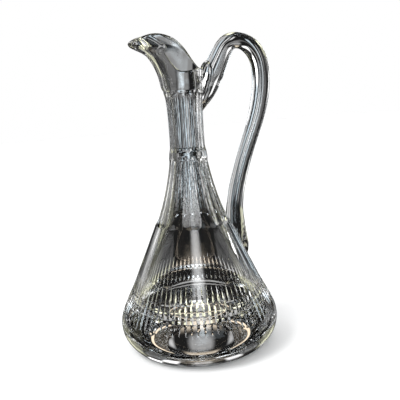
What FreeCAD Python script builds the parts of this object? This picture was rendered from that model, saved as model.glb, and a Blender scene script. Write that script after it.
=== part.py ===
"""Crystal carafe: one piece of cut glass with a pulled spout and an applied handle.

The bowl, the neck, the spout and the handle are fused while hot, so they are
one solid.  The axis of the bowl is +Z, the table is z = 0, the handle stands
toward +X and the spout pours toward -X.  All lengths are in millimetres.
"""
import FreeCAD, Part
import math
import os

V = FreeCAD.Vector

# ---- driving dimensions ------------------------------------------------------
BODY_RADIUS = 74.0          # widest radius of the bowl
NECK_TOP = 237.5            # the turned body ends here and the pulled spout begins
FLOOR = 26.0                # underside plane to the floor of the bowl, at the middle

# outside of the turned body, (height, radius) from the foot to the neck
OUTSIDE = [(0.0, 54.5), (1.0, 58.8), (6.0, 65.9), (13.5, 71.3), (23.5, BODY_RADIUS),
           (33.0, 72.9), (44.0, 68.4), (58.0, 61.2), (75.0, 53.4), (92.0, 45.7),
           (108.0, 38.7), (124.0, 31.9), (142.0, 25.6), (162.0, 20.5), (184.0, 17.0),
           (204.0, 16.5), (222.0, 16.9), (NECK_TOP, 18.4)]
# inside of the same walls, over a heavy solid base
INSIDE = [(FLOOR, 0.0), (FLOOR + 0.8, 20.0), (FLOOR + 3.0, 36.0), (34.0, 50.0), (41.0, 58.0),
          (50.0, 58.2), (62.0, 53.4), (80.0, 45.4), (100.0, 36.8), (122.0, 27.9),
          (146.0, 20.3), (170.0, 15.0), (196.0, 12.9), (222.0, 13.3), (NECK_TOP, 14.8)]

# underside: a flat ring to stand on and a ground hollow inside it
FOOT_RING = 33.0            # inner radius of the flat ring
HOLLOW_RADIUS = 20.5        # polished disc in the middle of the hollow
HOLLOW_DEPTH = 3.4

# flutes: twelve flat panels round the neck, in two tiers
FLUTES = 12
UPPER_TIER = (182.6, 235.6)
LOWER_TIER = (116.6, 177.4)
FLUTE_BITE = 0.25           # how far the corner between two panels lies under the old surface

# mitre band: V cuts down the bowl, crossed by two V rings
MITRES = 80
MITRE_FROM, MITRE_TO = 36.5, 72.5
MITRE_DEPTH = 1.85
MITRE_HALF_ANGLE = 49.0
RING_HEIGHTS = (52.4, 57.1)
RING_DEPTH = 0.9

# spout: level outlines, (height, radius of the round part, reach of the nose, nose width in rad)
SPOUT = [(236.0, 17.4, 0.0, 0.95), (NECK_TOP, 18.48, 0.1, 0.95), (246.0, 19.4, 2.0, 0.88),
         (258.0, 20.6, 5.0, 0.78), (266.0, 21.3, 9.4, 0.68), (271.5, 21.7, 16.6, 0.58),
         (275.5, 21.9, 25.8, 0.47), (280.0, 22.1, 27.4, 0.44), (286.0, 22.3, 27.8, 0.43),
         (292.0, 22.4, 28.0, 0.43)]
SPOUT_INSIDE = [(236.0, 13.8, 0.0, 0.90), (NECK_TOP, 14.88, 0.1, 0.90), (246.0, 15.8, 1.6, 0.80),
                (258.0, 17.0, 4.2, 0.68), (268.0, 17.9, 9.0, 0.58), (276.0, 18.3, 16.6, 0.47),
                (281.0, 18.5, 23.6, 0.38), (286.0, 18.7, 31.0, 0.34), (292.0, 18.8, 37.0, 0.33)]
BACK_IN = 0.16              # the round part is this much flatter on the handle side
# top of the rim seen from the side, (x, height)
RIM = [(-70.0, 272.0), (-49.0, 280.2), (-38.0, 284.6), (-27.0, 285.7), (-16.8, 282.6),
       (-8.0, 273.8), (0.0, 262.4), (7.0, 256.4), (17.0, 256.4), (40.0, 263.0)]

# handle: (x, height, half thickness, half width) of its sections, root to tail
HANDLE = [(15.6, 217.5, 1.0, 2.4), (19.6, 226.0, 4.4, 6.0), (25.0, 237.0, 8.0, 8.6),
          (29.2, 248.0, 10.4, 9.6), (35.3, 258.4, 10.0, 9.2), (42.0, 269.8, 9.0, 8.6),
          (50.2, 278.8, 8.0, 8.2), (61.8, 280.6, 7.3, 8.0), (74.6, 275.2, 8.2, 8.1),
          (82.8, 264.2, 8.6, 8.2), (85.4, 250.0, 8.7, 8.2), (82.8, 226.0, 8.6, 8.0),
          (75.5, 203.5, 7.7, 7.6), (66.0, 182.5, 7.4, 7.4), (57.5, 162.0, 7.4, 7.4),
          (50.8, 142.0, 7.9, 7.7), (47.0, 122.0, 8.5, 8.4), (46.8, 109.0, 9.4, 9.4),
          (50.7, 95.0, 7.0, 9.8), (54.2, 82.0, 4.3, 8.0), (54.6, 71.5, 1.2, 2.6)]
ROOT_LOBE = (25.8, 247.5, 7.0, 9.4, 15.5)   # rounded end of the gather: x, z and half sizes
CRIMPS = (104.5, 98.8, 93.2)                # heights of the pinches across the tail
CRIMP_DEPTH = 0.7


# ---- helpers -----------------------------------------------------------------
def spline(points):
    curve = Part.BSplineCurve()
    curve.interpolate(points)
    return curve


def closed_wire(points):
    curve = Part.BSplineCurve()
    curve.interpolate(points, PeriodicFlag=True)
    return Part.Wire([curve.toShape()])


def turned(curve, low, high):
    """Solid of revolution between a side curve and the axis."""
    a, b = V(0, 0, low), V(0, 0, high)
    edges = [curve.toShape()]
    start, end = curve.value(curve.FirstParameter), curve.value(curve.LastParameter)
    if start.x > 1e-6:
        edges.insert(0, Part.makeLine(a, start))
    edges.append(Part.makeLine(end, b))
    edges.append(Part.makeLine(b, a))
    return Part.Face(Part.Wire(edges)).revolve(V(0, 0, 0), V(0, 0, 1), 360)


def outline(height, radius, reach, width, count=32):
    """Level outline of the spout: a circle with a nose toward -X."""
    points = []
    for i in range(count):
        a = 2 * math.pi * i / count
        off = math.atan2(math.sin(a - math.pi), math.cos(a - math.pi))
        r = radius + reach * math.exp(-(off / width) ** 2)
        r -= BACK_IN * max(0.0, height - NECK_TOP) * max(0.0, math.cos(a)) ** 2
        points.append(V(r * math.cos(a), r * math.sin(a), height))
    return closed_wire(points)


outside = spline([V(r, 0, z) for z, r in OUTSIDE])
inside = spline([V(r, 0, z) for z, r in INSIDE])
side_samples = [outside.value(outside.FirstParameter + i / 600.0 *
                              (outside.LastParameter - outside.FirstParameter))
                for i in range(601)]


def side_radius(z):
    """Outside radius of the turned body at one height."""
    for a, b in zip(side_samples, side_samples[1:]):
        if a.z <= z <= b.z and b.z > a.z:
            return a.x + (b.x - a.x) * (z - a.z) / (b.z - a.z)
    return side_samples[-1].x


def side_normal(z):
    """Unit vector out of the glass, in the x-z plane."""
    slope = (side_radius(z + 0.5) - side_radius(z - 0.5)) / 1.0
    n = V(1.0, 0, -slope)
    return n.normalize()


def around(shape, count, start=0.0):
    copies = []
    for i in range(count):
        c = shape.copy()
        c.rotate(V(0, 0, 0), V(0, 0, 1), start + 360.0 * i / count)
        copies.append(c)
    return copies


# ---- bowl and neck, still solid inside -------------------------------------------
body = turned(outside, OUTSIDE[0][0], NECK_TOP)


# ---- flutes: each is a flat panel that lifts out of the glass at both ends -----
def flute(low, high, run_out):
    """Cutter for the panel that faces +X."""
    half = math.pi / FLUTES
    floor = []
    steps = 14
    for i in range(steps + 1):
        z = low + (high - low) * i / steps
        r = side_radius(z)
        deep = r * (1 - math.cos(half)) + FLUTE_BITE
        end = min(z - low, high - z)
        lift = 0.0
        if end < run_out:
            lift = 1 - math.sqrt(max(0.0, 1 - (1 - end / run_out) ** 2))
        floor.append(V(r - deep + lift * (deep + 0.5), 0, z))
    curve = spline(floor)
    a, b = floor[0], floor[-1]
    outer = [Part.makeLine(b, V(60, 0, b.z + 1)), Part.makeLine(V(60, 0, b.z + 1), V(60, 0, a.z - 1)),
             Part.makeLine(V(60, 0, a.z - 1), a)]
    face = Part.Face(Part.Wire([curve.toShape()] + outer))
    face.translate(V(0, -13, 0))
    return face.extrude(V(0, 26, 0))


for tier, run_out in ((UPPER_TIER, 5.0), (LOWER_TIER, 6.0)):
    for cutter in around(flute(tier[0], tier[1], run_out), FLUTES):
        body = body.cut(cutter)


# ---- mitre band: the V edge of a wheel, lowered into the bowl and lifted out ---
def mitre():
    """One V cut: a triangle turned about the axle of the cutting wheel."""
    a = V(side_radius(MITRE_FROM), 0, MITRE_FROM)
    b = V(side_radius(MITRE_TO), 0, MITRE_TO)
    zm = (MITRE_FROM + MITRE_TO) / 2
    m = V(side_radius(zm), 0, zm) - side_normal(zm) * MITRE_DEPTH
    wheel = Part.Arc(a, m, b).toShape().Curve
    c, radius = wheel.Center, wheel.Radius
    toward = (a - c).normalize()
    tall = 6.0
    wide = tall * math.tan(math.radians(MITRE_HALF_ANGLE))
    tip = c + toward * radius
    back = c + toward * (radius - tall)
    tri = Part.Face(Part.makePolygon([tip, back + V(0, wide, 0), back - V(0, wide, 0), tip]))
    sweep = math.degrees((a - c).getAngle(b - c))
    margin = math.degrees(6.0 / radius)
    turn = 1 if (a - c).cross(b - c).y > 0 else -1
    tri.rotate(c, V(0, 1, 0), -turn * margin)
    return tri.revolve(c, V(0, 1, 0), turn * (sweep + 2 * margin))


def ring_cut(z):
    n = side_normal(z)
    along = V(-n.z, 0, n.x)
    s = V(side_radius(z), 0, z)
    tall = 3.0
    wide = (tall + RING_DEPTH) * math.tan(math.radians(50.0))
    top = s + n * tall
    tri = Part.makePolygon([s - n * RING_DEPTH, top + along * wide, top - along * wide,
                            s - n * RING_DEPTH])
    return Part.Face(tri).revolve(V(0, 0, 0), V(0, 0, 1), 360)


body = body.cut(around(mitre(), MITRES, 360.0 / MITRES / 2))
body = body.cut([ring_cut(z) for z in RING_HEIGHTS])


# ---- spout: pulled out of the neck, then sheared to the slanting rim -------------
pulled = Part.makeLoft([outline(*s) for s in SPOUT], True, False)
rim_curve = spline([V(x, 0, z) for x, z in RIM])
first, last = V(RIM[0][0], 0, RIM[0][1]), V(RIM[-1][0], 0, RIM[-1][1])
over = Part.Wire([rim_curve.toShape(), Part.makeLine(last, V(last.x, 0, 320)),
                  Part.makeLine(V(last.x, 0, 320), V(first.x, 0, 320)),
                  Part.makeLine(V(first.x, 0, 320), first)])
over = Part.Face(over)
over.translate(V(0, -60, 0))
pulled = pulled.cut(over.extrude(V(0, 120, 0)))
body = body.fuse(pulled)


# ---- hollow out the inside and the underside -----------------------------------
cavity = turned(inside, FLOOR, NECK_TOP)
mouth = Part.makeLoft([outline(*s) for s in SPOUT_INSIDE], True, False)
body = body.cut(cavity).cut(mouth)

hollow = spline([V(0, 0, HOLLOW_DEPTH + 0.5), V(HOLLOW_RADIUS * 0.5, 0, HOLLOW_DEPTH + 0.35),
                 V(HOLLOW_RADIUS, 0, HOLLOW_DEPTH)])
rim_in = V(FOOT_RING, 0, 0)
under = Part.Wire([hollow.toShape(), Part.makeLine(V(HOLLOW_RADIUS, 0, HOLLOW_DEPTH), rim_in),
                   Part.makeLine(rim_in, V(FOOT_RING, 0, -2)),
                   Part.makeLine(V(FOOT_RING, 0, -2), V(0, 0, -2)),
                   Part.makeLine(V(0, 0, -2), V(0, 0, HOLLOW_DEPTH + 0.5))])
body = body.cut(Part.Face(under).revolve(V(0, 0, 0), V(0, 0, 1), 360))


# ---- handle: one drawn rod, thick at the root, pressed out at the tail ----------
def section(i):
    x, z, thick, wide = HANDLE[i]
    before, after = HANDLE[max(i - 1, 0)], HANDLE[min(i + 1, len(HANDLE) - 1)]
    run = V(after[0] - before[0], 0, after[1] - before[1]).normalize()
    out = V(run.z, 0, -run.x)
    points = []
    for k in range(16):
        a = 2 * math.pi * k / 16
        points.append(V(x, 0, z) + out * (thick * math.cos(a)) + V(0, wide * math.sin(a), 0))
    return closed_wire(points)


def tail_outside(z):
    """Outer edge of the tail in the x-z plane, between two sections."""
    for (x1, z1, t1, w1), (x2, z2, t2, w2) in zip(HANDLE[-5:], HANDLE[-4:]):
        if z2 <= z <= z1:
            k = (z - z1) / (z2 - z1)
            run = V(x2 - x1, 0, z2 - z1).normalize()
            return V(x1 + (x2 - x1) * k, 0, z) + V(-run.z, 0, run.x) * (t1 + (t2 - t1) * k)


handle = Part.makeLoft([section(i) for i in range(len(HANDLE))], True, False)
pinches = []
for z in CRIMPS:
    edge = tail_outside(z)
    pin = Part.makeTorus(9.0, 2.4, V(edge.x - 9.0 + 2.4 - CRIMP_DEPTH, 0, z), V(0.35, 0, 1))
    pinches.append(pin)
lx, lz, la, lb, lc = ROOT_LOBE
lobe = Part.makeSphere(1.0)
grow = FreeCAD.Matrix()
grow.scale(la, lb, lc)
lobe = lobe.transformGeometry(grow)
lobe.translate(V(lx, 0, lz))
body = body.fuse(handle.cut(pinches)).fuse(lobe)

# ---- write the solid -------------------------------------------------------------
solid = max(body.Solids, key=lambda s: s.Volume)
print("solids", len(body.Solids), "valid", solid.isValid(), "faces", len(solid.Faces))
print("volume cm3", round(solid.Volume / 1000, 1), "box", solid.BoundBox)
print("cavity cm3", round(cavity.Volume / 1000, 1))
os.makedirs("parts", exist_ok=True)
solid.exportStep("parts/carafe.step")
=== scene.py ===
# %% [markdown]
# # A cut crystal carafe
# One piece of lead crystal: a wide bowl that runs up into a slim fluted neck, a
# spout pulled out of the rim, and a tall handle laid on while the glass was hot.
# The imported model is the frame. It gives the size and the place of everything, and
# the glass made here stands in for its plain node.

# %% Frame
import math
import bpy
import numpy as np
from mathutils import Matrix, Vector


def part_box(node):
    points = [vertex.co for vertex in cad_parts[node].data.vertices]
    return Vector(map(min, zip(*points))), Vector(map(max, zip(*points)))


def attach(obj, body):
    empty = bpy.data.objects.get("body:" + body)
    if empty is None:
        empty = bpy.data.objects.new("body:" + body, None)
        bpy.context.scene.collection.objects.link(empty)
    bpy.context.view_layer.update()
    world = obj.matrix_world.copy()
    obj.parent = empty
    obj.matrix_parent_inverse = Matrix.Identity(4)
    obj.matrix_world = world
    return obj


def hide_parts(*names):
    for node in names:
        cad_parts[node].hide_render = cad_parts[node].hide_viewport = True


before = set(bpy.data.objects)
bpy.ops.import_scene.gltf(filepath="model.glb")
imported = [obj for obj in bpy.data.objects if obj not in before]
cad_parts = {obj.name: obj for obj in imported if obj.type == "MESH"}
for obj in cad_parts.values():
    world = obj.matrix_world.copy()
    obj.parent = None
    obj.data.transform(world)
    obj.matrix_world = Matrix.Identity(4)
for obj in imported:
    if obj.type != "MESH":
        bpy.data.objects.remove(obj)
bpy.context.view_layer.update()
MM = 0.001
low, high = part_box("carafe")
print("frame: carafe stands", round((high.z - low.z) / MM, 1), "mm tall")

# %% Helpers
def nothing_selected():
    if bpy.context.mode != "OBJECT":
        bpy.ops.object.mode_set(mode="OBJECT")
    bpy.ops.object.select_all(action="DESELECT")


def only(piece):
    """Make one piece the selected and active one."""
    nothing_selected()
    piece.select_set(True)
    bpy.context.view_layer.objects.active = piece


def through(points, count=1500):
    """A smooth line through the points: a cubic curve over the distance along them."""
    p = np.array(points, float)
    t = np.concatenate([[0], np.cumsum(np.linalg.norm(np.diff(p[:, :2], axis=0), axis=1))])
    n, h = len(t), np.diff(t)
    a, b = np.eye(n), np.zeros(p.shape)
    for i in range(1, n - 1):
        a[i, i - 1:i + 2] = h[i - 1], 2 * (h[i - 1] + h[i]), h[i]
        b[i] = 6 * ((p[i + 1] - p[i]) / h[i] - (p[i] - p[i - 1]) / h[i - 1])
    bend = np.linalg.solve(a, b)
    s = np.linspace(0, t[-1], count)
    k = np.clip(np.searchsorted(t, s, "right") - 1, 0, n - 2)
    u, v = (s - t[k])[:, None], (t[k + 1] - s)[:, None]
    hk = h[k][:, None]
    return (bend[k] * v ** 3 + bend[k + 1] * u ** 3) / (6 * hk) + \
        (p[k] / hk - bend[k] * hk / 6) * v + (p[k + 1] / hk - bend[k + 1] * hk / 6) * u


# %% [markdown]
# ## The section of the glass
# A blown and turned vessel is the same all round, so it is drawn as half a section:
# the outside wall, the inside wall, and the thick base between them. Sizes are in
# millimetres, as (height, radius).

# %% Section
NECK_TOP, FLOOR = 237.5, 26.0
OUTSIDE = [(0, 54.5), (1, 58.8), (6, 65.9), (13.5, 71.3), (23.5, 74), (33, 72.9), (44, 68.4),
           (58, 61.2), (75, 53.4), (92, 45.7), (108, 38.7), (124, 31.9), (142, 25.6),
           (162, 20.5), (184, 17.0), (204, 16.5), (222, 16.9), (NECK_TOP, 18.4)]
INSIDE = [(FLOOR, 0), (26.8, 20), (29, 36), (34, 50), (41, 58), (50, 58.2), (62, 53.4),
          (80, 45.4), (100, 36.8), (122, 27.9), (146, 20.3), (170, 15.0), (196, 12.9),
          (222, 13.3), (NECK_TOP, 14.8)]
FOOT_RING, HOLLOW_RADIUS, HOLLOW_DEPTH, HOLLOW_CROWN = 33.0, 20.5, 3.4, 0.5
outside, inside = through(OUTSIDE), through(INSIDE)


def wall(z):
    return np.interp(z, outside[:, 0], outside[:, 1])


def bore(z):
    return np.interp(z, inside[:, 0], inside[:, 1])


def lean(z):
    """The direction square to the outside wall at one height, as (out, up)."""
    slope = wall(z + 0.5) - wall(z - 0.5)
    size = np.hypot(1, slope)
    return 1 / size, -slope / size


# %% [markdown]
# ## Rows and columns
# The shell is spun from the section in 320 steps. That number is four columns for
# each of the 80 cuts of the band: the bottom of the cut, its two edges and the land
# between. Rows lie close where a cut starts or ends, and far apart on plain glass.

# %% Rows and columns
MITRES, FLUTES = 80, 12
COLUMNS = 4 * MITRES
BAND = (33.5, 72.5)
RINGS = (52.4, 57.1)
RING_DEPTH, RING_HALF, RING_CLEAR = 0.5, 0.6, 1.6
UPPER_TIER, LOWER_TIER = (182.6, 235.6), (116.6, 177.4)


def rows(start, end, count):
    return list(np.linspace(start, end, count, endpoint=False))


def close_ends(start, end, edge, fine, count):
    """Rows that crowd toward both ends of a tier."""
    s = np.linspace(0, 1, fine, endpoint=False) ** 1.6
    head = start + edge * s
    return list(head) + rows(start + edge, end - edge, count) + list((end - edge * s)[::-1])


def at_shares(curve, shares):
    """Points (radius, height) at given shares of the length of a curve."""
    walk = np.concatenate([[0], np.cumsum(np.hypot(*np.diff(curve, axis=0).T))])
    return [(np.interp(s * walk[-1], walk, curve[:, 1]), np.interp(s * walk[-1], walk, curve[:, 0]))
            for s in shares]


# %% Section of the foot and the band
foot = outside[outside[:, 0] < BAND[0]]
band_rows = rows(BAND[0], RINGS[0] - RING_CLEAR, 17)
for z in RINGS:
    band_rows += [z - RING_HALF, z, z + RING_HALF]
band_rows = sorted(band_rows + [sum(RINGS) / 2] + rows(RINGS[1] + RING_CLEAR, BAND[1], 17))
section = [("under", r, HOLLOW_DEPTH + HOLLOW_CROWN * (1 - (r / HOLLOW_RADIUS) ** 2))
           for r in (0, 5, 10, 15, 19, 20.2)]
section += [("under", r, HOLLOW_DEPTH * (1 - (r - HOLLOW_RADIUS) / (FOOT_RING - HOLLOW_RADIUS)))
            for r in (20.5, 21, 23, 26, 29, 31.3, 32.2, 33.0)]
section += [("under", r, 0) for r in (33.5, 34.2, 35, 38, 43, 49)]
section += [("wall", r, z) for r, z in at_shares(foot, np.linspace(0, 1, 19, endpoint=False))]
section += [("band", wall(z), z) for z in band_rows]

# %% Section of the shoulder and the neck
section += [("wall", wall(z), z) for z in rows(BAND[1], LOWER_TIER[0] - 1, 10)]
section += [("flute", wall(z), z)
            for z in close_ends(LOWER_TIER[0] - 1, LOWER_TIER[1] + 1, 8, 11, 9)]
section += [("flute", wall(z), z) for z in rows(LOWER_TIER[1] + 1, UPPER_TIER[0] - 1, 3)]
section += [("flute", wall(z), z) for z in close_ends(UPPER_TIER[0] - 1, NECK_TOP, 7, 10, 7)]

# %% Section of the collar, the lip and the inside
COLLAR, SPOUT_ROWS, THROAT_ROWS, LIP_ROWS = 40.0, 28, 18, 15
section += [("spout", wall(NECK_TOP), NECK_TOP + COLLAR * k / SPOUT_ROWS)
            for k in range(SPOUT_ROWS + 1)]
half = (wall(NECK_TOP) - bore(NECK_TOP)) / 2
for k in range(1, LIP_ROWS):
    a = math.pi * k / LIP_ROWS
    section += [("lip", bore(NECK_TOP) + half * (1 + math.cos(a)),
                 NECK_TOP + COLLAR + half * math.sin(a))]
section += [("throat", bore(NECK_TOP), NECK_TOP + COLLAR * (1 - k / THROAT_ROWS))
            for k in range(THROAT_ROWS + 1)]
section += [("bore", r, z) for r, z in at_shares(inside[::-1], np.linspace(0, 1, 48)[1:])]
print("section:", len(section), "points")

# %% Spin the blank
SLIVER = 0.00001
line = bpy.data.meshes.new("crystal_carafe")
line.from_pydata([(r * MM, 0, z * MM) for _, r, z in section],
                 [(i, i + 1) for i in range(len(section) - 1)], [])
carafe = bpy.data.objects.new("crystal_carafe", line)
bpy.context.scene.collection.objects.link(carafe)
only(carafe)
bpy.ops.object.mode_set(mode="EDIT")
bpy.ops.mesh.select_all(action="SELECT")
bpy.ops.mesh.spin(steps=COLUMNS, angle=2 * math.pi, center=(0, 0, 0), axis=(0, 0, 1))
bpy.ops.mesh.select_all(action="SELECT")
bpy.ops.mesh.remove_doubles(threshold=SLIVER)
bpy.ops.mesh.normals_make_consistent(inside=False)
bpy.ops.object.mode_set(mode="OBJECT")


def places_of(mesh):
    """Every vertex of a mesh, in millimetres."""
    flat = np.zeros(len(mesh.vertices) * 3)
    mesh.vertices.foreach_get("co", flat)
    return flat.reshape(-1, 3) / MM


points = places_of(line)
radius = np.hypot(points[:, 0], points[:, 1])
kinds = np.array([k for k, _, _ in section])
places = np.array([(r, z) for _, r, z in section])
row = np.array([np.argmin((places[:, 0] - r) ** 2 + (places[:, 1] - z) ** 2)
                for r, z in zip(radius, points[:, 2])])
step = 2 * math.pi / COLUMNS
column = np.rint(np.arctan2(points[:, 1], points[:, 0]) / step).astype(int) % COLUMNS
print("blank:", len(points), "vertices,", len(line.polygons), "faces")

# %% [markdown]
# ## The flutes
# Twelve flat panels are ground round the neck in two tiers. Each ends in a steep
# rounded step where the wheel was lifted. A vertex moves in to the flat panel only
# where the panel lies under the round wall, so the corners between panels are crisp.

# %% Grind the flutes
FLUTE_BITE, CORNER_SOFT = 0.25, 0.08
UPPER_RUN_OUT, LOWER_RUN_OUT = 5.0, 6.0
corner = np.arange(FLUTES + 1) * 2 * math.pi / FLUTES + math.pi / FLUTES
corner_column = np.rint(corner / step)
flute_angle = np.interp(np.arange(COLUMNS) + (np.arange(COLUMNS) < corner_column[0]) * COLUMNS,
                        corner_column, corner)


def flute_radius(z, angle):
    """Radius of the fluted neck."""
    turn = 2 * math.pi / FLUTES
    off = np.abs((angle + turn / 2) % turn - turn / 2)
    r = wall(z)
    deep = r * (1 - math.cos(turn / 2)) + FLUTE_BITE
    for (start, end), run_out in ((UPPER_TIER, UPPER_RUN_OUT), (LOWER_TIER, LOWER_RUN_OUT)):
        to_end = np.clip(np.minimum(z - start, end - z) / run_out, 0, 1)
        lift = 1 - np.sqrt(1 - (1 - to_end) ** 2)
        panel = (r - deep + lift * (deep + 0.5)) / np.cos(off)
        gap = np.clip(0.5 + 0.5 * (panel - r) / CORNER_SOFT, 0, 1)
        r = panel * (1 - gap) + r * gap - CORNER_SOFT * gap * (1 - gap)
    return r


z = places[row, 1]
on = kinds[row] == "flute"
a = flute_angle[column[on]]
r = flute_radius(z[on], a)
points[on] = np.stack([r * np.cos(a), r * np.sin(a), z[on]], 1)
print("flutes:", FLUTES, "panels in two tiers,", int(on.sum()), "vertices moved")

# %% [markdown]
# ## The band of mitre cuts
# A wheel with a V edge is lowered into the bowl and lifted out again, eighty times
# round. The bottom of each cut is an arc of the wheel, so the cut is a long spindle
# with two flat faces. Two thin rings run across and cut the lands into beads.

# %% Cut the band
MITRE_DEPTH, MITRE_HALF_ANGLE = 1.35, math.radians(42)
NOT_YET_CUT = 0.02          # under this depth the columns of a cut stand evenly


def circle_through(p, q, s):
    """Centre and radius of the circle through three points."""
    m = np.array([[q[0] - p[0], q[1] - p[1]], [s[0] - p[0], s[1] - p[1]]]) * 2
    k = [q @ q - p @ p, s @ s - p @ p]
    c = np.linalg.solve(m, k)
    return c, np.linalg.norm(p - c)


middle = sum(BAND) / 2
out, up = lean(middle)
low_end, high_end = np.array([wall(BAND[0]), BAND[0]]), np.array([wall(BAND[1]), BAND[1]])
deepest = np.array([wall(middle) - out * MITRE_DEPTH, middle - up * MITRE_DEPTH])
wheel, wheel_radius = circle_through(low_end, deepest, high_end)


def cut_depth(z):
    """Depth of the cut under the wall at one height, square to the wall."""
    reach = np.sqrt(np.maximum(wheel_radius ** 2 - (z - wheel[1]) ** 2, 0))
    bottom = wheel[0] - reach if wheel[0] > wall(middle) else wheel[0] + reach
    return np.maximum(wall(z) - bottom, 0) * lean(z)[0]


on = kinds[row] == "band"
z, c = places[row[on], 1], column[on]
deep = cut_depth(z)
wide = deep * math.tan(MITRE_HALF_ANGLE) / wall(z)
ring = np.minimum(np.min(np.abs(z[:, None] - np.array(RINGS)), 1), RING_HALF)
ring = RING_DEPTH * (1 - ring / RING_HALF)
part = c % 4
centre = (c // 4 * 4 + 2) * step
edge = np.maximum(wide * (1 - ring / np.maximum(deep, 1e-6)), 0)
edge = np.where(deep < NOT_YET_CUT, step * 0.999, edge)
a = np.select([part == 1, part == 2, part == 3], [centre - edge, centre, centre + edge], c * step)
down = np.where(part == 2, np.maximum(deep, ring), ring)
out, up = lean(z)
r, z = wall(z) - out * down, z - up * down
points[on] = np.stack([r * np.cos(a), r * np.sin(a), z], 1)
print("band:", MITRES, "cuts,", round(float(deep.max()), 2), "mm deep and",
      round(float((2 * wide * wall(places[row[on], 1])).max()), 2), "mm wide")

# %% [markdown]
# ## The spout
# The rim is sheared on a slant while it is hot, and the front is pulled out to a
# rolled tip. Every level outline is a circle with a nose on it. The nose grows with
# the height, and the collar of the blank is stretched up to the sheared edge. The
# outside and the throat are given as (height, radius, nose, width of the nose), and
# the sheared edge as (out from the axis, height).

# %% Pull the spout
SPOUT = [(236, 17.4, 0, .95), (NECK_TOP, 18.4, .1, .95), (246, 19.4, 2, .88), (258, 20.6, 5, .78),
         (266, 21.3, 9.4, .68), (271.5, 21.7, 16.6, .58), (275.5, 21.9, 25.8, .47),
         (280, 22.1, 27.4, .44), (286, 22.3, 27.8, .43), (292, 22.4, 28, .43)]
THROAT = [(236, 13.8, 0, .9), (NECK_TOP, 14.8, .1, .9), (246, 15.8, 1.6, .8), (258, 17, 4.2, .68),
          (268, 17.9, 9, .58), (276, 18.3, 16.6, .47), (281, 18.5, 23.6, .38), (286, 18.7, 31, .34),
          (292, 18.8, 37, .33)]
SHEAR = [(-70, 272), (-49, 280.2), (-38, 284.6), (-27, 285.7), (-16.8, 282.6), (-8, 273.8),
         (0, 262.4), (7, 256.4), (17, 256.4), (40, 263)]
BACK_IN, ROUND_SHARE, ROUND_RANGE = 0.16, 0.42, (1.2, 2.6)
shear = through(SHEAR)


def outline(table, z, angle):
    """Radius of a level outline of the spout."""
    t = through([(q[0], 0, *q[1:]) for q in table])
    radius, nose, width = (np.interp(z, t[:, 0], t[:, k]) for k in (2, 3, 4))
    off = np.abs((angle % (2 * math.pi)) - math.pi)
    back = BACK_IN * np.maximum(z - NECK_TOP, 0) * np.maximum(np.cos(angle), 0) ** 2
    return radius + nose * np.exp(-(off / width) ** 2) - back


def sheared_edge(table, angle):
    """Height at which a wall of the spout meets the sheared edge."""
    bottom, top = np.full(angle.shape, NECK_TOP), np.full(angle.shape, 292.0)
    for _ in range(40):
        mid = (bottom + top) / 2
        over = mid > np.interp(outline(table, mid, angle) * np.cos(angle), shear[:, 0], shear[:, 1])
        top, bottom = np.where(over, mid, top), np.where(over, bottom, mid)
    return mid


every = np.arange(COLUMNS) * step
edge_out, edge_in = sheared_edge(SPOUT, every), sheared_edge(THROAT, every)
thick = outline(SPOUT, edge_out, every) - outline(THROAT, edge_in, every)
round_up = np.clip(thick * ROUND_SHARE, *ROUND_RANGE)
print("rim: from", round(float(edge_out.min()), 1), "to", round(float(edge_out.max()), 1),
      "mm high, wall", round(float(thick.min()), 1), "to", round(float(thick.max()), 1), "mm")
for kind, table, top in (("spout", SPOUT, edge_out), ("throat", THROAT, edge_in)):
    on = kinds[row] == kind
    a = every[column[on]]
    share = (places[row[on], 1] - NECK_TOP) / COLLAR
    z = NECK_TOP + share * (top - round_up - NECK_TOP)[column[on]]
    r = outline(table, z, a)
    points[on] = np.stack([r * np.cos(a), r * np.sin(a), z], 1)
on = kinds[row] == "lip"
c = column[on]
a, turn = every[c], (row[on] - np.argmax(kinds == "lip") + 1) * math.pi / LIP_ROWS
z_out, z_in = (edge_out - round_up)[c], (edge_in - round_up)[c]
r_out, r_in = outline(SPOUT, z_out, a), outline(THROAT, z_in, a)
r = (r_out + r_in) / 2 + (r_out - r_in) / 2 * np.cos(turn)
z = (z_out + z_in) / 2 + (z_out - z_in) / 2 * np.cos(turn) + round_up[c] * np.sin(turn)
points[on] = np.stack([r * np.cos(a), r * np.sin(a), z], 1)

line.vertices.foreach_set("co", (points * MM).ravel())
line.update()

# %% [markdown]
# ## The handle
# A rod of hot glass is pressed on behind the rim, drawn up and over, and its end is
# stuck on the shoulder of the bowl, where the tool leaves pinches across the tail.
# A curve with a round bevel can't change its width and its thickness apart, so the
# rod is a ring extruded many times, and each ring is then set on the handle's line.
# The line is given as (out from the axis, height, half thickness, half width), and
# the lobe at the root as (out, height) and its three half sizes.

# %% Line of the handle
HANDLE = [(15.6, 217.5, 1.0, 2.4), (19.6, 226, 4.4, 6), (25, 237, 8, 8.6), (29.2, 248, 10.4, 9.6),
          (35.3, 258.4, 10, 9.2), (42, 269.8, 9, 8.6), (50.2, 278.8, 8, 8.2), (61.8, 280.6, 7.3, 8),
          (74.6, 275.2, 8.2, 8.1), (82.8, 264.2, 8.6, 8.2), (85.4, 250, 8.7, 8.2), (82.8, 226, 8.6, 8),
          (75.5, 203.5, 7.7, 7.6), (66, 182.5, 7.4, 7.4), (57.5, 162, 7.4, 7.4), (50.8, 142, 7.9, 7.7),
          (47, 122, 8.5, 8.4), (46.8, 109, 9.4, 9.4), (50.7, 95, 7, 9.8), (54.2, 82, 4.3, 8),
          (54.6, 71.5, 1.2, 2.6)]
PINCHES, PINCH_DEPTH, PINCH_HALF = (104.5, 98.8, 93.2), 0.7, 2.0
ROOT_LOBE = (25.8, 247.5, 7.0, 9.4, 15.5)
AROUND, ALONG = 40, 150
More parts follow.
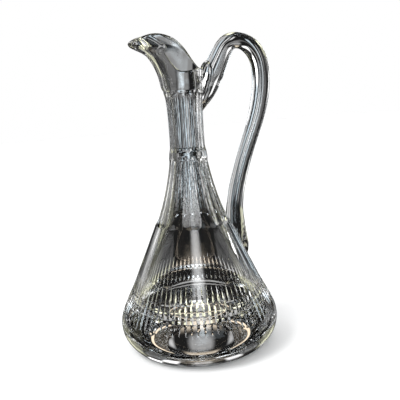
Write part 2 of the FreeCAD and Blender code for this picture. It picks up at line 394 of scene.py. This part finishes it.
rod = through(HANDLE, ALONG)
run = np.gradient(rod[:, :2], axis=0)
run /= np.linalg.norm(run, axis=1)[:, None]
tail = np.arange(ALONG) > ALONG * 0.6
for z in PINCHES:
    near = np.clip(1 - np.abs(rod[:, 1] - z) / PINCH_HALF, 0, 1)
    rod[tail, 2] -= (PINCH_DEPTH * near ** 2 * (3 - 2 * near))[tail]

# %% Extrude a straight rod
nothing_selected()
bpy.ops.mesh.primitive_circle_add(vertices=AROUND, radius=MM, fill_type="NGON", location=(0, 0, 0))
handle = bpy.context.object
handle.name = "drawn_handle"
bpy.ops.object.mode_set(mode="EDIT")
bpy.ops.mesh.select_all(action="SELECT")
for _ in range(ALONG - 1):
    bpy.ops.mesh.extrude_region_move(TRANSFORM_OT_translate={"value": (0, 0, MM)})
bpy.ops.object.mode_set(mode="OBJECT")

# %% Bend the rod
turn = np.arange(AROUND) * 2 * math.pi / AROUND
bent = np.zeros((ALONG, AROUND, 3))
bent[:, :, 0] = rod[:, 0, None] + run[:, 1, None] * rod[:, 2, None] * np.cos(turn)
bent[:, :, 1] = rod[:, 3, None] * np.sin(turn)
bent[:, :, 2] = rod[:, 1, None] - run[:, 0, None] * rod[:, 2, None] * np.cos(turn)
straight = places_of(handle.data)
ring = np.rint(straight[:, 2]).astype(int)
spoke = np.rint(np.arctan2(straight[:, 1], straight[:, 0]) / turn[1]).astype(int) % AROUND
handle.data.vertices.foreach_set("co", (bent[ring, spoke] * MM).ravel())
handle.data.update()
only(handle)
bpy.ops.object.mode_set(mode="EDIT")
bpy.ops.mesh.select_all(action="SELECT")
bpy.ops.mesh.normals_make_consistent(inside=False)
bpy.ops.object.mode_set(mode="OBJECT")
print("handle:", len(handle.data.vertices), "vertices,", len(handle.data.polygons), "faces")

# %% Press on the root
nothing_selected()
x, z, thick, wide, tall = ROOT_LOBE
bpy.ops.mesh.primitive_uv_sphere_add(segments=40, ring_count=30, radius=MM,
                                     location=(x * MM, 0, z * MM))
lobe = bpy.context.object
lobe.name = "root_lobe"
lobe.scale = (thick, wide, tall)
bpy.ops.object.transform_apply(location=True, rotation=True, scale=True)

# %% Fuse
def fuse(piece, other):
    """Join two closed forms into one skin, as hot glass does."""
    only(piece)
    join = piece.modifiers.new("fuse", "BOOLEAN")
    join.operation, join.solver, join.object = "UNION", "EXACT", other
    bpy.ops.object.modifier_apply(modifier=join.name)
    bpy.data.objects.remove(other, do_unlink=True)


fuse(handle, lobe)
fuse(carafe, handle)
print("fused:", len(carafe.data.vertices), "vertices,", len(carafe.data.polygons), "faces")

# %% [markdown]
# ## The join made clean
# A union leaves needle-thin faces where two curved skins meet, and points that sit
# in the middle of an edge. Both turn into stray faces once the mesh is cut into
# triangles, so the first are merged and the second are dissolved. The arch of the
# handle also stands 0.2 mm above the solid, so the whole skin is drawn in a little.

# %% Clean the join
TRIM = 0.9992
only(carafe)
bpy.ops.object.mode_set(mode="EDIT")
bpy.ops.mesh.select_all(action="SELECT")
bpy.ops.mesh.remove_doubles(threshold=SLIVER)
bpy.ops.mesh.select_all(action="SELECT")
bpy.ops.mesh.dissolve_degenerate(threshold=SLIVER)
bpy.ops.mesh.delete_loose()
bpy.ops.mesh.select_all(action="DESELECT")
bpy.ops.object.mode_set(mode="OBJECT")
edges_at = [0] * len(carafe.data.vertices)
for edge in carafe.data.edges:
    for end in edge.vertices:
        edges_at[end] += 1
for vertex in carafe.data.vertices:
    vertex.select = edges_at[vertex.index] == 2
bpy.ops.object.mode_set(mode="EDIT")
bpy.ops.mesh.dissolve_verts()
bpy.ops.mesh.select_all(action="SELECT")
bpy.ops.transform.resize(value=(TRIM, TRIM, TRIM), center_override=(0, 0, 0))
bpy.ops.object.mode_set(mode="OBJECT")
print("dissolved:", edges_at.count(2), "points in the middle of an edge")

# %% Smooth under a small angle
SMOOTH_UNDER = math.radians(19)
bpy.ops.object.shade_smooth_by_angle(angle=SMOOTH_UNDER)
print("skin:", sum(len(p.vertices) - 2 for p in carafe.data.polygons), "triangles")

# %% [markdown]
# ## The finish
# Lead crystal is clear and bends light more than window glass does, so it is a
# Principled shader with full transmission and an index of 1.545. Three things make it
# look hand made. The neck was ground and polished along its length, so it has faint
# upright streaks. The hollow under the foot keeps the rings of the grinding wheel. The
# foot ring itself is left unpolished, and light from the table gathers in it. Traced
# light alone leaves it too dim, so a warm emission paints a glow on the foot ring for
# the light it gathers, and a much fainter painted glow lies on the grinding rings.

# %% Crystal
CRYSTAL_INDEX = 1.545
crystal = bpy.data.materials.new("cut_crystal")
crystal.use_nodes = True
tree = crystal.node_tree
skin = tree.nodes["Principled BSDF"]
skin.inputs["Base Color"].default_value = (1, 1, 1, 1)
skin.inputs["Transmission Weight"].default_value = 1.0
skin.inputs["IOR"].default_value = CRYSTAL_INDEX
# Warm colour of the painted glow on the foot ring and the grinding rings
skin.inputs["Emission Color"].default_value = (1.0, 0.83, 0.62, 1)

# %% Helpers for nodes
def node(kind, **settings):
    """A new node in the tree that is being built."""
    made = tree.nodes.new("ShaderNode" + kind)
    for name, value in settings.items():
        setattr(made, name, value)
    return made


def sum_of(operation, *values):
    """One step of arithmetic between sockets and numbers."""
    made = node("Math", operation=operation)
    for socket, value in zip(made.inputs, values):
        if isinstance(value, (int, float)):
            socket.default_value = value
        else:
            tree.links.new(value, socket)
    return made.outputs[0]


def rise(value, start, end):
    """A smooth step from 0 at start to 1 at end."""
    made = node("MapRange", interpolation_type="SMOOTHSTEP")
    tree.links.new(value, made.inputs["Value"])
    made.inputs["From Min"].default_value = start
    made.inputs["From Max"].default_value = end
    return made.outputs["Result"]


def within(value, start, end, soft):
    """1 between start and end, 0 outside, with soft edges."""
    return sum_of("MULTIPLY", rise(value, start - soft, start + soft),
                  rise(value, end + soft, end - soft))


# %% Height and distance from the axis
place = node("TexCoord")
split = node("SeparateXYZ")
tree.links.new(place.outputs["Object"], split.inputs[0])
x, y, height = split.outputs
out_from_axis = sum_of("SQRT", sum_of("ADD", sum_of("MULTIPLY", x, x), sum_of("MULTIPLY", y, y)))

# %% Foot ring and grinding rings, with their painted glow
# The glow strengths below are painted light; the roughness is the real unpolished and ground finish.
RING_BAND, RING_SOFT, RING_PAINTED_GLOW, RING_ROUGH = (0.0332, 0.0349), 0.0002, 1.1, 0.6
GROOVE_BAND, GROOVE_SOFT, GROOVE_PAINTED_GLOW, GROOVE_ROUGH = (0.0205, 0.0330), 0.0004, 0.06, 0.22
GROOVE_PITCH, GROOVE_WAVE, GROOVE_MEAN = 0.0011, 0.35, 0.65
UNDERSIDE = 0.0042, 0.0040

under = rise(height, *UNDERSIDE)
ring = sum_of("MULTIPLY", within(out_from_axis, *RING_BAND, RING_SOFT), under)
grooves_and_painted_glow = sum_of("MULTIPLY", within(out_from_axis, *GROOVE_BAND, GROOVE_SOFT), under)
wave = sum_of("SINE", sum_of("MULTIPLY", out_from_axis, 2 * math.pi / GROOVE_PITCH))
grooves_and_painted_glow = sum_of("MULTIPLY", grooves_and_painted_glow, sum_of("MULTIPLY_ADD", wave, GROOVE_WAVE, GROOVE_MEAN))
tree.links.new(sum_of("MULTIPLY_ADD", ring, RING_ROUGH, sum_of("MULTIPLY", grooves_and_painted_glow, GROOVE_ROUGH)),
               skin.inputs["Roughness"])
# The emission is painted light: a warm glow on the foot ring and a faint one on the grinding rings,
# where no lamp is.
tree.links.new(sum_of("MULTIPLY_ADD", ring, RING_PAINTED_GLOW, sum_of("MULTIPLY", grooves_and_painted_glow, GROOVE_PAINTED_GLOW)),
               skin.inputs["Emission Strength"])

# %% Polishing streaks
STREAK_SCALE, STREAK_DETAIL, STREAK_HEIGHT = (620, 620, 26), 2.0, 0.00006
STREAK_BAND, STREAK_SOFT = (0.118, 0.234), 0.003

stretch = node("Mapping")
stretch.inputs["Scale"].default_value = STREAK_SCALE
tree.links.new(place.outputs["Object"], stretch.inputs["Vector"])
streaks = node("TexNoise")
streaks.inputs["Scale"].default_value = 1.0
streaks.inputs["Detail"].default_value = STREAK_DETAIL
tree.links.new(stretch.outputs["Vector"], streaks.inputs["Vector"])
relief = node("Bump")
relief.inputs["Distance"].default_value = STREAK_HEIGHT
tree.links.new(within(height, *STREAK_BAND, STREAK_SOFT), relief.inputs["Strength"])
tree.links.new(streaks.outputs["Fac"], relief.inputs["Height"])
tree.links.new(relief.outputs["Normal"], skin.inputs["Normal"])

# %% Put it on the carafe
carafe.data.materials.clear()
carafe.data.materials.append(crystal)
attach(carafe, "root")
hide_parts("carafe")
print("finish:", crystal.name, "with", len(tree.nodes), "nodes")

# %% [markdown]
# ## The camera
# It stands a little to the spout's side of the front, about the height of the neck,
# and looks slightly down, so the carafe shows both its mouth and its foot.

# %% Camera
TURN, DISTANCE, EYE = math.radians(28), 0.5053, 0.2266
PITCH, YAW, ROLL = math.radians(10.09), math.radians(0.91), math.radians(-3.86)
FOCAL_LENGTH, SENSOR_WIDTH = 49.73, 36
lens = bpy.data.cameras.new("camera")
lens.lens, lens.sensor_width = FOCAL_LENGTH, SENSOR_WIDTH
camera = bpy.data.objects.new("camera", lens)
aim = Matrix.Rotation(-TURN - YAW, 4, "Z") @ Matrix.Rotation(math.pi / 2 - PITCH, 4, "X") \
    @ Matrix.Rotation(ROLL, 4, "Z")
stand = Matrix.Translation((-DISTANCE * math.sin(TURN), -DISTANCE * math.cos(TURN), EYE))
camera.matrix_world = stand @ aim
bpy.context.scene.collection.objects.link(camera)
bpy.context.scene.camera = camera
print("camera:", round(DISTANCE, 2), "m away, looking down", round(math.degrees(PITCH)), "degrees")

# %% [markdown]
# ## The floor and the soft light
# A plain pale floor runs out to white, and one large soft lamp from the left lays the
# shadow to the right. The floor is kept out of what the glass bends and mirrors. Clear
# glass on an all-white table looks like nothing at all, so what shows in it is set
# apart from what stands round it.

# %% Floor
FLOOR_SIZE = 8
nothing_selected()
bpy.ops.mesh.primitive_plane_add(size=FLOOR_SIZE, location=(0, 0, 0))
floor = bpy.context.object
floor.name = "floor"
paper = bpy.data.materials.new("pale_paper")
paper.use_nodes = True
sheet = paper.node_tree.nodes["Principled BSDF"]
sheet.inputs["Base Color"].default_value = (0.9, 0.9, 0.9, 1)
sheet.inputs["Roughness"].default_value = 0.8
sheet.inputs["Specular IOR Level"].default_value = 0.0
floor.data.materials.append(paper)
floor.visible_transmission = False
floor.visible_glossy = False
print("floor:", FLOOR_SIZE, "m square")

# %% Lamp
LAMP_SIDE, LAMP_UP, LAMP_AWAY = math.radians(-55), math.radians(48), 1.6
LAMP_AIM, LAMP_WIDTH, LAMP_WATTS = Vector((0, 0, 0.1)), 0.8, 18
lamp = bpy.data.lights.new("soft_lamp", "AREA")
lamp.shape, lamp.size, lamp.energy = "DISK", LAMP_WIDTH, LAMP_WATTS
softbox = bpy.data.objects.new("soft_lamp", lamp)
bearing = -math.pi / 2 - TURN + LAMP_SIDE
level = math.cos(LAMP_UP)
toward = Vector((math.cos(bearing) * level, math.sin(bearing) * level, math.sin(LAMP_UP)))
softbox.location = toward * LAMP_AWAY + LAMP_AIM
softbox.rotation_euler = (-toward).to_track_quat("-Z", "Y").to_euler()
softbox.visible_camera = softbox.visible_glossy = softbox.visible_transmission = False
bpy.context.scene.collection.objects.link(softbox)
print("lamp:", lamp.energy, "watts,", lamp.size, "m wide")

# %% [markdown]
# ## What the glass sees
# Clear glass has no colour of its own. All that shows in it is the room, bent or
# mirrored, so the room is built from soft panels on a dark ground: narrow strips
# behind the neck, paler ones low at the sides that light the cuts, a window in front
# for the long highlight, and a warm table below. Each panel is a place on the sky of
# the world shader: degrees round from straight behind, degrees up, half its width and
# half its height, how bright it is, its tint, and 1 for a soft edge. The camera and the
# floor see plain white instead of this room, so only the glass sees the dark ground.

# %% Panels
WHITE, COOL, WARM, LEMON = (1, 1, 1), (0.80, 0.92, 1.0), (1.0, 0.86, 0.68), (1.0, 1.0, 0.74)
DARK_ROOM = 0.012
BEHIND_NECK = [
    (-26, -5, 3, 6, 0.16, WHITE, 0), (-15, -5, 2, 6, 0.08, WHITE, 0),
    (-9.5, -5, 1.6, 6, 0.40, WHITE, 0), (-1, -4.5, 1.5, 7, 0.75, COOL, 0),
    (9.5, -5, 1.5, 6, 0.8, WHITE, 0), (16, -5, 2, 6, 0.7, WHITE, 0), (28, -5, 4, 6, 0.9, COOL, 0),
    (-45, -5, 9, 7, 0.40, WHITE, 0), (52, -5, 7, 6, 0.7, WHITE, 0), (67, -5, 7, 6, 1.6, WHITE, 0)]
BEHIND_MOUTH = [
    (0, 7, 3.2, 6, 0.27, WHITE, 0), (-7, 7, 3, 5, 0.18, WHITE, 0), (-15, 7, 4, 5, 0.12, WHITE, 0),
    (11.5, 7, 1.6, 5, 0.4, WHITE, 0), (28, 7, 5, 6, 4.5, WHITE, 0),
    (-48, 7, 10, 6, 1.2, WHITE, 0)]
BEHIND_HIGH = [
    (18, 21, 5, 7, 1.5, WHITE, 0), (-18, 21, 5, 7, 1.2, WHITE, 0), (0, 21, 5, 6, 0.35, WHITE, 0),
    (0, 39, 9, 8, 0.65, WARM, 0)]
LOW_SIDES = [
    (19, -18, 4, 6, 0.2, COOL, 0), (33, -18, 6, 6, 0.6, WHITE, 0), (50, -18, 8, 6, 0.7, WHITE, 0),
    (-50, -18, 9, 6, 0.8, LEMON, 0), (-33, -18, 6, 6, 0.6, LEMON, 0),
    (36, -35, 10, 8, 2.0, LEMON, 0), (-36, -35, 10, 8, 2.0, LEMON, 0),
    (58, -35, 9, 8, 1.2, LEMON, 0), (-58, -35, 9, 8, 1.2, LEMON, 0)]
TABLE = [
    (65, -54, 25, 8, 0.7, WHITE, 0), (-65, -54, 25, 8, 0.7, WHITE, 0),
    (0, -58, 10, 4, 0.5, WHITE, 0), (0, -82, 180, 12, 0.9, WARM, 0)]
SIDES = [
    (80, -12, 10, 9, 1.0, WHITE, 0), (-80, -10, 10, 12, 0.4, LEMON, 0),
    (-80, 10, 6, 6, 0.5, LEMON, 0), (-67, 7, 5, 6, 0.5, LEMON, 0), (80, 10, 5, 5, 0.9, LEMON, 0)]
FRONT = [
    (177, 36, 9, 14, 7.0, WHITE, 1), (177, 6, 7, 16, 2.4, COOL, 1), (176, 20, 7, 8, 5.0, COOL, 1),
    (155, 11, 8, 10, 1.0, COOL, 0), (180, -30, 6, 9, 0.8, WHITE, 0),
    (180, -10, 8, 6, 0.3, COOL, 0)]
PANELS = BEHIND_NECK + BEHIND_MOUTH + BEHIND_HIGH + LOW_SIDES + TABLE + SIDES + FRONT

# %% World
# The helpers for nodes work in the world's tree from here on.
world = bpy.data.worlds.new("studio")
bpy.context.scene.world = world
world.use_nodes = True
tree = world.node_tree
tree.nodes.clear()
looking = node("TexCoord").outputs["Generated"]


def along(direction):
    made = node("VectorMath", operation="DOT_PRODUCT")
    tree.links.new(looking, made.inputs[0])
    made.inputs[1].default_value = direction
    return made.outputs["Value"]


ahead = along((math.sin(TURN), math.cos(TURN), 0))
right = along((math.cos(TURN), -math.sin(TURN), 0))
DEGREES = 180 / math.pi
round_from_behind = sum_of("MULTIPLY", sum_of("ARCTAN2", right, ahead), DEGREES)
up = sum_of("MULTIPLY", sum_of("ARCSINE", along((0, 0, 1))), DEGREES)

# %% Hang the panels
SOFT_BLUR, CRISP_BLUR, MOST_BLUR, BLUR_UP = 0.95, 0.3, 2.0, 0.35
room = (DARK_ROOM, DARK_ROOM, DARK_ROOM)
for bearing, height, half_wide, half_high, bright, tint, soft in PANELS:
    turned = sum_of("SUBTRACT", round_from_behind, bearing)
    away = sum_of("ABSOLUTE", sum_of("WRAP", turned, 180.0, -180.0))
    over = sum_of("ABSOLUTE", sum_of("SUBTRACT", up, height))
    blur_wide = SOFT_BLUR * half_wide if soft else min(CRISP_BLUR * half_wide, MOST_BLUR)
    blur_high = BLUR_UP * half_high
    panel = sum_of("MULTIPLY", rise(away, half_wide + blur_wide, half_wide - blur_wide),
                   rise(over, half_high + blur_high, half_high - blur_high))
    lit = node("VectorMath", operation="MULTIPLY_ADD")
    tree.links.new(panel, lit.inputs[0])
    lit.inputs[1].default_value = [bright * c for c in tint]
    if isinstance(room, tuple):
        lit.inputs[2].default_value = room
    else:
        tree.links.new(room, lit.inputs[2])
    room = lit.outputs[0]
print("room:", len(PANELS), "panels")

# %% White for the eye, the panels for the glass
def background(colour):
    made = node("Background")
    if isinstance(colour, tuple):
        made.inputs["Color"].default_value = colour
    else:
        tree.links.new(colour, made.inputs["Color"])
    return made.outputs[0]


def either(choice, first, second):
    made = node("MixShader")
    for socket, value in zip(made.inputs, (choice, first, second)):
        tree.links.new(value, socket)
    return made.outputs[0]


rays = node("LightPath").outputs
white = background((1, 1, 1, 1))
sky = either(rays["Is Diffuse Ray"], background(room), white)
sky = either(rays["Is Camera Ray"], sky, white)
tree.links.new(sky, node("OutputWorld").inputs["Surface"])

# %% [markdown]
# ## The last settings
# A ray that enters cut crystal meets many faces before it leaves, so the limits on
# bounces are high. Now and then such a ray ends on the brightest window and leaves
# a white speck, so what one ray may bring back after its first bounce is limited.
# The plain view transform keeps the white ground white.

# %% Finish
BOUNCES, THROUGH_GLASS, IN_MIRRORS, ON_PAPER, MOST_FROM_ONE_RAY = 24, 20, 12, 2, 3.0
scene = bpy.context.scene
scene.view_settings.view_transform = "Standard"
scene.cycles.max_bounces = BOUNCES
scene.cycles.transmission_bounces = THROUGH_GLASS
scene.cycles.glossy_bounces = IN_MIRRORS
scene.cycles.diffuse_bounces = ON_PAPER
scene.cycles.sample_clamp_indirect = MOST_FROM_ONE_RAY
